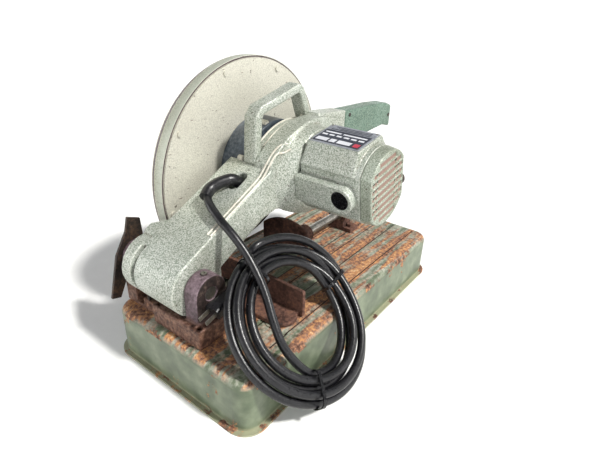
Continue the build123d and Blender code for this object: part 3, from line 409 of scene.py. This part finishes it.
chips = add_node(tree, "ShaderNodeMath", {0: low_edge, 1: 0.10, 2: blotch}, operation="MULTIPLY_ADD")[0]
shoulder = add_node(tree, "ShaderNodeMath", {0: split["Z"], 1: base_high[2] - 0.0075, 2: 0.0045},
                    operation="COMPARE")[0]
chips = add_node(tree, "ShaderNodeMath", {0: shoulder, 1: 0.10, 2: chips}, operation="MULTIPLY_ADD")[0]
chips = add_node(tree, "ShaderNodeMath", {0: fine, 1: 0.20, 2: chips}, operation="MULTIPLY_ADD")[0]
chips = add_node(tree, "ShaderNodeMapRange", {0: chips, 1: 0.720, 2: 0.750})[0]
rust = add_node(tree, "ShaderNodeMath", {0: bare, 1: chips}, operation="MAXIMUM")[0]
green = add_node(tree, "ShaderNodeTexNoise", {"Vector": place, "Scale": 40.0, "Detail": 6.0})[0]
green = add_node(tree, "ShaderNodeValToRGB", {0: green}, [(0.32, "4c5742"), (0.50, "606b54"),
                                                          (0.68, "768068")])[0]
primer = add_node(tree, "ShaderNodeMath", {0: fine, 1: 0.5, 2: strip}, operation="MULTIPLY_ADD")[0]
primer = add_node(tree, "ShaderNodeMapRange", {0: primer, 1: 0.62, 2: 0.80})[0]
primer = add_node(tree, "ShaderNodeMath", {0: primer, 1: on_top}, operation="MULTIPLY")[0]
green = add_node(tree, "ShaderNodeMix", {0: primer, 6: green, 7: paint("bcbcae")}, data_type="RGBA")[2]
# Painted highlight: a pale band along the bottom lip, fading out by 8.5 mm up, stands for the light on the
# rolled edge.
painted_lip_highlight = add_node(tree, "ShaderNodeMapRange", {0: split["Z"], 1: 0.0085, 2: 0.004, 4: 0.55})[0]
green = add_node(tree, "ShaderNodeMix", {0: painted_lip_highlight, 6: green, 7: paint("b5b294")}, data_type="RGBA")[2]
scale_rust = add_node(tree, "ShaderNodeMath", {0: strip, 1: 0.55, 2: fine}, operation="MULTIPLY_ADD")[0]
scale_rust = add_node(tree, "ShaderNodeValToRGB", {0: scale_rust}, [
    (0.60, "2e1d18"), (0.69, "5c3d2e"), (0.76, "7d5b4b"), (0.82, "a3765a"), (0.88, "bd8248"),
    (0.95, "cdb08c")])[0]
colour = add_node(tree, "ShaderNodeMix", {0: rust, 6: green, 7: scale_rust}, data_type="RGBA")[2]
# Painted shade: dark lines along the top stand for the shadow inside its grooves; the same mask also sinks
# them as bump.
GROOVES = ((-0.107, 0.0010), (-0.064, 0.0010), (-0.031, 0.0010), (-0.006, 0.0009), (0.031, 0.0010),
           (0.094, 0.0010))
groove_relief_and_shade = None
for groove_x, half_width in GROOVES:
    line = add_node(tree, "ShaderNodeMath", {0: split["X"], 1: groove_x, 2: half_width},
                    operation="COMPARE")[0]
    groove_relief_and_shade = line if groove_relief_and_shade is None else add_node(tree, "ShaderNodeMath", {0: groove_relief_and_shade, 1: line},
                                                    operation="MAXIMUM")[0]
within = add_node(tree, "ShaderNodeMath", {0: split["Y"], 1: -0.030, 2: 0.222}, operation="COMPARE")[0]
groove_relief_and_shade = add_node(tree, "ShaderNodeMath", {0: groove_relief_and_shade, 1: within}, operation="MULTIPLY")[0]
groove_relief_and_shade = add_node(tree, "ShaderNodeMath", {0: groove_relief_and_shade, 1: on_top}, operation="MULTIPLY")[0]
colour = add_node(tree, "ShaderNodeMix", {0: groove_relief_and_shade, 6: colour, 7: paint("2c1d17")}, data_type="RGBA")[2]
tree.links.new(colour, shader.inputs["Base Color"])
rough = add_node(tree, "ShaderNodeMapRange", {0: rust, 3: 0.36, 4: 0.88})[0]
tree.links.new(rough, shader.inputs["Roughness"])
height = add_node(tree, "ShaderNodeMath", {0: rust, 1: fine}, operation="MULTIPLY")[0]
height = add_node(tree, "ShaderNodeMath", {0: groove_relief_and_shade, 1: -1.2, 2: height}, operation="MULTIPLY_ADD")[0]
normal = add_node(tree, "ShaderNodeBump", {"Height": height, "Strength": 0.8, "Distance": 0.0009})[0]
tree.links.new(normal, shader.inputs["Normal"])
print("worn top from", round(base_high[2] - 0.0105, 4), "m, grooves", len(GROOVES))

# %% [markdown]
# ### Iron, steel, bronze, rubber and moulded parts
# These finishes share one build: a fine grain and a broad drift pick the colour, the grain also moves
# the roughness and the bump. What makes each one itself is its colours, how metallic it is and how coarse
# the grain is in millimetres.

# %% Mix the plain finishes
def grained(name, stops, metallic, roughness, grain_mm, relief):
    material, tree, shader, place = new_finish(name, metallic, roughness)
    fine = add_node(tree, "ShaderNodeTexNoise", {"Vector": place, "Scale": 1000.0 / grain_mm, "Detail": 7.0,
                                                 "Roughness": 0.7})[0]
    broad = add_node(tree, "ShaderNodeTexNoise", {"Vector": place, "Scale": 140.0 / grain_mm,
                                                  "Detail": 4.0})[0]
    tone = add_node(tree, "ShaderNodeMix", {0: 0.4, 2: fine, 3: broad})[0]
    tree.links.new(add_node(tree, "ShaderNodeValToRGB", {0: tone}, stops)[0], shader.inputs["Base Color"])
    rough = add_node(tree, "ShaderNodeMapRange", {0: fine, 1: 0.3, 2: 0.7, 3: roughness - 0.1,
                                                  4: roughness + 0.1})[0]
    tree.links.new(rough, shader.inputs["Roughness"])
    normal = add_node(tree, "ShaderNodeBump", {"Height": fine, "Strength": 0.7, "Distance": relief})[0]
    tree.links.new(normal, shader.inputs["Normal"])
    return material


# Cast iron left bare: scaly dark brown with ochre bloom, quite matt.
rusted_iron = grained("rusted_cast_iron", [(0.34, "241713"), (0.46, "4b3128"), (0.55, "6d4d41"),
                                           (0.68, "94674a")],
                      0.1, 0.82, 6.0, 0.0012)
# The pivot's ears kept a violet-grey oxide where the enamel flaked off.
ear_oxide = grained("oxidised_iron_ear", [(0.36, "2e2628"), (0.48, "5b4b50"), (0.6, "85727a"),
                                          (0.7, "9c8a8f")],
                    0.25, 0.60, 5.0, 0.0008)
# Ribs and rims lose their enamel's green first: pale, slightly pink aluminium primer shows.
rubbed_rib = grained("rubbed_rib_primer", [(0.35, "b5ab9f"), (0.5, "cdcabd"), (0.65, "dfddd2")], 0.2, 0.45,
                     4.0, 0.0003)
# Turned steel goes dull grey in a shed; bright only where it runs.
dull_steel = grained("dull_turned_steel", [(0.35, "6a6762"), (0.5, "94918a"), (0.65, "b3b0a8")], 0.95, 0.36,
                     4.0,
                     0.0002)
# Oil-blackened screws and springs, brown where the oil has dried.
dark_steel = grained("blackened_steel", [(0.35, "1c1918"), (0.5, "3a322e"), (0.65, "66503f")], 0.6, 0.52, 4.0,
                     0.0004)
# Bushes and windings: warm yellow-brown metal.
plain_bronze = grained("plain_bronze", [(0.35, "7a4f2a"), (0.5, "a8733f"), (0.65, "c59a62")], 0.95, 0.34, 4.0,
                       0.0002)
# The gear cover's enamel is a dark blue-grey, glossier than the hammertone.
blue_enamel = grained("blue_grey_enamel", [(0.35, "262d35"), (0.5, "3d4650"), (0.65, "67707a")], 0.15, 0.38,
                      5.0,
                      0.0003)
# Bonded grit: nearly black and quite matt. Real grit is 0.7 mm; it is drawn at 1.4 mm.
abrasive_disc = grained("bonded_abrasive", [(0.35, "141212"), (0.5, "2b2725"), (0.65, "4a423c")], 0.0, 0.90,
                        1.4,
                        0.0010)
# Moulded rubber sheath: soft black with a dusty bloom and a long soft highlight.
cord_rubber = grained("black_cord_rubber", [(0.35, "09090b"), (0.5, "0f0f13"), (0.66, "1e1d21")], 0.0, 0.33,
                      3.0,
                      0.0003)
# Phenolic mouldings: deep black and glossy.
black_phenolic = grained("black_phenolic", [(0.35, "070709"), (0.5, "0e0e11"), (0.66, "1b1a1d")], 0.0, 0.24,
                         3.0,
                         0.0001)
pressed_carbon = grained("pressed_carbon", [(0.35, "0b0b0b"), (0.6, "1a1a1a")], 0.1, 0.68, 1.5, 0.0001)
# The rating plate is printed foil: dull silver with dark, white and red inks.
plate_foil = grained("plate_foil", [(0.35, "868a92"), (0.5, "b0b4bd"), (0.66, "d0d3da")], 0.6, 0.34, 3.0,
                     0.0001)
plate_dark_ink = grained("plate_dark_ink", [(0.35, "1d2029"), (0.66, "3a3e4b")], 0.0, 0.42, 3.0, 0.0001)
plate_white_ink = grained("plate_white_ink", [(0.35, "b9bcc4"), (0.66, "e2e3e8")], 0.0, 0.42, 3.0, 0.0001)
plate_red_ink = grained("plate_red_ink", [(0.35, "a82a3d"), (0.66, "cc4459")], 0.0, 0.42, 3.0, 0.0001)
# The floor is plain pale paper.
floor_paper = grained("pale_floor_paper", [(0.35, "f2f2f1"), (0.6, "f7f7f6")], 0.0, 0.9, 30.0, 0.0001)
floor.data.materials.append(floor_paper)
print("plain finishes ready")

# %% Turn the pivot's foot brown and its outer faces black
tree = ear_oxide.node_tree
shader = tree.nodes["Principled BSDF"]
violet = shader.inputs["Base Color"].links[0].from_socket
place = add_node(tree, "ShaderNodeTexCoord")["Object"]
grain = add_node(tree, "ShaderNodeTexNoise", {"Vector": place, "Scale": 150.0, "Detail": 7.0,
                                              "Roughness": 0.7})[0]
brown = add_node(tree, "ShaderNodeValToRGB", {0: grain}, [(0.34, "2c1b15"), (0.48, "5d3f32"), (0.6, "7f5f4e"),
                                                          (0.7, "a5744e")])[0]
height = add_node(tree, "ShaderNodeSeparateXYZ", {0: place})["Z"]
foot = add_node(tree, "ShaderNodeMath", {0: grain, 1: 0.02, 2: height}, operation="MULTIPLY_ADD")[0]
foot = add_node(tree, "ShaderNodeMapRange", {0: foot, 1: 0.130, 2: 0.120})[0]
colour = add_node(tree, "ShaderNodeMix", {0: foot, 6: violet, 7: brown}, data_type="RGBA")[2]
outward = add_node(tree, "ShaderNodeNewGeometry")["Normal"]
outward = add_node(tree, "ShaderNodeSeparateXYZ", {0: outward})["X"]
outward = add_node(tree, "ShaderNodeMapRange", {0: outward, 1: -0.75, 2: -0.95})[0]
above = add_node(tree, "ShaderNodeMath", {0: 1.0, 1: foot}, operation="SUBTRACT")[0]
burnt = add_node(tree, "ShaderNodeMath", {0: outward, 1: above}, operation="MULTIPLY")[0]
black = add_node(tree, "ShaderNodeValToRGB", {0: grain}, [(0.40, "1b1513"), (0.55, "352a27"),
                                                          (0.7, "6b5a52")])[0]
colour = add_node(tree, "ShaderNodeMix", {0: burnt, 6: colour, 7: black}, data_type="RGBA")[2]
tree.links.new(colour, shader.inputs["Base Color"])
print("brown foot up to about 0.125 m")

# %% Give every CAD node its finish
finish_of = {
    green_hammertone: ["arm_casting", "carry_handle", "motor_housing"],
    cover_hammertone: ["end_cover"],
    guard_hammertone: ["guard_plate", "guard_shell", "case_screws"],
    teal_hammertone: ["grip_right", "grip_left"],
    base_enamel: ["base_pan"],
    rusted_iron: ["fence", "vise_jaw", "vise_nut_block", "base_bolts"],
    ear_oxide: ["pivot_bracket"],
    dull_steel: ["pivot_grub_screws", "pivot_shaft", "shaft_nut", "vise_nut", "vise_screw",
                 "nameplate_rivets",
                 "stator", "armature", "motor_shaft", "ball_bearings", "spindle", "inner_flange",
                 "outer_flange",
                 "trigger_pin", "plug_blades"],
    dark_steel: ["vise_crank", "depth_stop", "lock_strap", "arm_spring", "end_cover_screws", "drive_gear",
                 "wheel_bolt", "grip_screws"],
    plain_bronze: ["arm_bushes", "brush_holders", "field_coils", "commutator"],
    blue_enamel: ["gear_cover"],
    abrasive_disc: ["cutting_wheel"],
    cord_rubber: ["cord_guard", "cord_lead", "cord_cross", "cord_tail", "cord_coil", "plug_body"],
    black_phenolic: ["crank_knob", "brush_caps", "cooling_fan", "switch_body", "trigger", "lock_button",
                     "cord_ties"],
    pressed_carbon: ["carbon_brushes"],
    plate_foil: ["nameplate"],
}
for material, names in finish_of.items():
    for name in names:
        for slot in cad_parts[name].material_slots:
            slot.material = material
cord.data.materials.clear()
cord.data.materials.append(cord_rubber)
left = sorted(set(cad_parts) - {n for names in finish_of.values() for n in names})
print("finishes", len(finish_of), "nodes without one", left)

# %% [markdown]
# ## Castings with soft edges
# Sand and die castings have no sharp corners: the mould rounds each edge by a millimetre or two, and the
# enamel fills the inner corners. A voxel remesh melts a CAD mesh into small even squares and a few smoothing
# passes round them, which gives the highlight its soft edge. The CAD mesh is only copied: the copy is
# shown and rides the same body.

# %% Melt a CAD mesh into a casting
def casting(name, body, finish, sources, voxel, passes, swell=0.0):
    shape = bmesh.new()
    for source in sources:
        shape.from_mesh(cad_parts[source].data)
    bmesh.ops.remove_doubles(shape, verts=shape.verts, dist=0.00001)
    mesh = bpy.data.meshes.new(name)
    shape.to_mesh(mesh)
    shape.free()
    piece = bpy.data.objects.new(name, mesh)
    bpy.context.scene.collection.objects.link(piece)
    melt = piece.modifiers.new("melt", "REMESH")
    melt.mode = "VOXEL"
    melt.voxel_size = voxel
    thicken = piece.modifiers.new("thicken", "DISPLACE")
    thicken.strength = swell
    thicken.mid_level = 0.0
    relax = piece.modifiers.new("relax", "SMOOTH")
    relax.factor = 0.5
    relax.iterations = passes
    piece = baked(piece, name)
    for polygon in piece.data.polygons:
        polygon.use_smooth = True
    piece.data.materials.clear()
    piece.data.materials.append(finish)
    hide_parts(*sources)
    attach(piece, body)
    print(name, "faces", len(piece.data.polygons))


OUTLINE_CORNERS = 8
CORNER_REACH = 0.54     # corner distance over width, so that the flats give the full width


def bar(name, points, width, height):
    """A cast rib along a smooth line through the points."""
    line = spline_object(name, [Vector(p) for p in points], 1.0)
    line.data.bevel_depth = 0.0
    outline = bpy.data.curves.new(name + "_outline", "CURVE")
    spline = outline.splines.new("POLY")
    spline.points.add(OUTLINE_CORNERS - 1)
    for index, target in enumerate(spline.points):
        turn = math.tau * (index + 0.5) / OUTLINE_CORNERS
        target.co = (width * CORNER_REACH * math.cos(turn), height * CORNER_REACH * math.sin(turn), 0.0, 1.0)
    spline.use_cyclic_u = True
    holder = bpy.data.objects.new(name + "_outline", outline)
    line.data.bevel_mode = "OBJECT"
    line.data.bevel_object = holder
    rib = baked(line, name)
    bpy.data.objects.remove(holder)
    return rib


# %% [markdown]
# ### The arm, its handle and the motor
# Two thin ribs are cast along the arm's right top edge, where they stiffen it, and two arcs over the gear
# case. All four are laid by dropping points onto the CAD arm, so they follow its slope and its curve.

# %% Lay the arm's ribs and melt the head's castings
arm_surface = BVHTree.FromPolygons([v.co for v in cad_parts["arm_casting"].data.vertices],
                                   [tuple(p.vertices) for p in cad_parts["arm_casting"].data.polygons])


def on_arm(x, y):
    """The point of the arm's top skin under x, y."""
    return arm_surface.ray_cast(Vector((x, y, 1.0)), Vector((0.0, 0.0, -1.0)))[0]


RIB_LIFT = 0.0008


def laid_rib(name, course, width, height, finish):
    """A cast rib over the arm's skin, along a course of x, y."""
    rib = bar(name, [on_arm(x, y) + Vector((0.0, 0.0, RIB_LIFT)) for x, y in course], width, height)
    for polygon in rib.data.polygons:
        polygon.use_smooth = True
    rib.data.materials.clear()
    rib.data.materials.append(finish)
    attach(rib, "arm")


for number, start_x in enumerate((-0.0020, 0.0045)):
    course = [(start_x, 0.190 - 0.015 * step) for step in range(10)]
    course += [(start_x - 0.004, 0.042), (start_x - 0.009, 0.032)]
    laid_rib("arm_rib_%d" % number, course, 0.0030, 0.0030, rubbed_rib)
for number, rim_x in enumerate((0.036, 0.048)):
    course = [(rim_x, 0.040 - 0.010 * step) for step in range(11)]
    laid_rib("case_rib_%d" % number, course, 0.0034, 0.0030, rubbed_rib)
casting("cast_arm", "arm", green_hammertone, ["arm_casting"], voxel=0.0019, passes=5)
casting("cast_carry_handle", "arm", green_hammertone, ["carry_handle"], voxel=0.0013, passes=9, swell=0.0013)
casting("cast_motor_housing", "arm", green_hammertone, ["motor_housing"], voxel=0.0014, passes=5)
casting("cast_end_cover", "arm", cover_hammertone, ["end_cover"], voxel=0.0010, passes=3)
casting("cast_gear_cover", "arm", blue_enamel, ["gear_cover"], voxel=0.0014, passes=5)
for side in ("grip_left", "grip_right"):
    casting("cast_" + side, "arm", teal_hammertone, [side], voxel=0.0013, passes=6)

# %% Melt the base's castings
casting("cast_pivot_bracket", "base", ear_oxide, ["pivot_bracket"], voxel=0.0014, passes=5)
casting("cast_fence", "base", rusted_iron, ["fence"], voxel=0.0012, passes=4)
casting("cast_vise_jaw", "vise_jaw", rusted_iron, ["vise_jaw"], voxel=0.0014, passes=5)

# %% [markdown]
# ### The rating plate
# A rating plate is a strip of printed foil. Blocks of ink stand for its fields: no words are drawn. Each
# block is a thin slab laid in the plate's own plane, which tilts with the motor.

# %% Print the plate's fields
plate_low, plate_high = [Vector(c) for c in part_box("nameplate")]
PLATE_TILT = math.radians(10.0)
plate_across = Vector((0.0, math.cos(PLATE_TILT), -math.sin(PLATE_TILT)))
plate_up = Vector((0.0, math.sin(PLATE_TILT), math.cos(PLATE_TILT)))
plate_middle = (plate_low + plate_high) / 2
DARK_LIFT, PALE_LIFT, INK_THICK = 0.0009, 0.0011, 0.0002
half_long = (plate_high.x - plate_low.x) / 2
half_wide = (plate_high.y - plate_low.y) / 2 / math.cos(PLATE_TILT) - 0.0004
print("plate", round(2 * half_long, 4), "by", round(2 * half_wide, 4))


def ink_block(shape, left, right, front, back, lift):
    """A slab over part of the plate: sides from -1 to 1 along X and across, raised by lift."""
    corners = []
    for z in (lift - INK_THICK, lift):
        for u, v in ((left, front), (right, front), (right, back), (left, back)):
            corners.append(shape.verts.new(plate_middle + Vector((u * half_long, 0,
                                                                  0)) + plate_across * v * half_wide
                                           + plate_up * z))
    for face in ((3, 2, 1, 0), (4, 5, 6, 7), (0, 1, 5, 4), (1, 2, 6, 5), (2, 3, 7, 6), (3, 0, 4, 7)):
        shape.faces.new([corners[i] for i in face])


def ink_piece(name, finish, blocks, lift):
    shape = bmesh.new()
    for block in blocks:
        ink_block(shape, *block, lift)
    bmesh.ops.recalc_face_normals(shape, faces=shape.faces)
    mesh = bpy.data.meshes.new(name)
    shape.to_mesh(mesh)
    shape.free()
    piece = bpy.data.objects.new(name, mesh)
    bpy.context.scene.collection.objects.link(piece)
    mesh.materials.append(finish)
    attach(piece, "arm")
    print(name, "blocks", len(blocks))


ink_piece("plate_field", plate_dark_ink, [(-0.93, 0.93, -0.42, 0.90)], DARK_LIFT)
white_blocks = [(-0.55, -0.02, 0.48, 0.80), (0.06, 0.30, 0.48, 0.80), (0.38, 0.85, 0.48, 0.80)]
white_blocks += [(-0.85 + 0.30 * step, -0.64 + 0.30 * step, 0.06, 0.20) for step in range(6)]
white_blocks += [(-0.85, 0.10, -0.22, -0.10), (0.20, 0.85, -0.22, -0.10)]
ink_piece("plate_boxes", plate_white_ink, white_blocks, PALE_LIFT)
ink_piece("plate_lines", plate_dark_ink, [(-0.80, 0.80, -0.56, -0.52), (-0.80, 0.55, -0.70, -0.66),
                                          (-0.80, 0.70, -0.84, -0.80)], DARK_LIFT)
ink_piece("plate_mark", plate_red_ink, [(-0.88, -0.66, 0.48, 0.80)], PALE_LIFT)
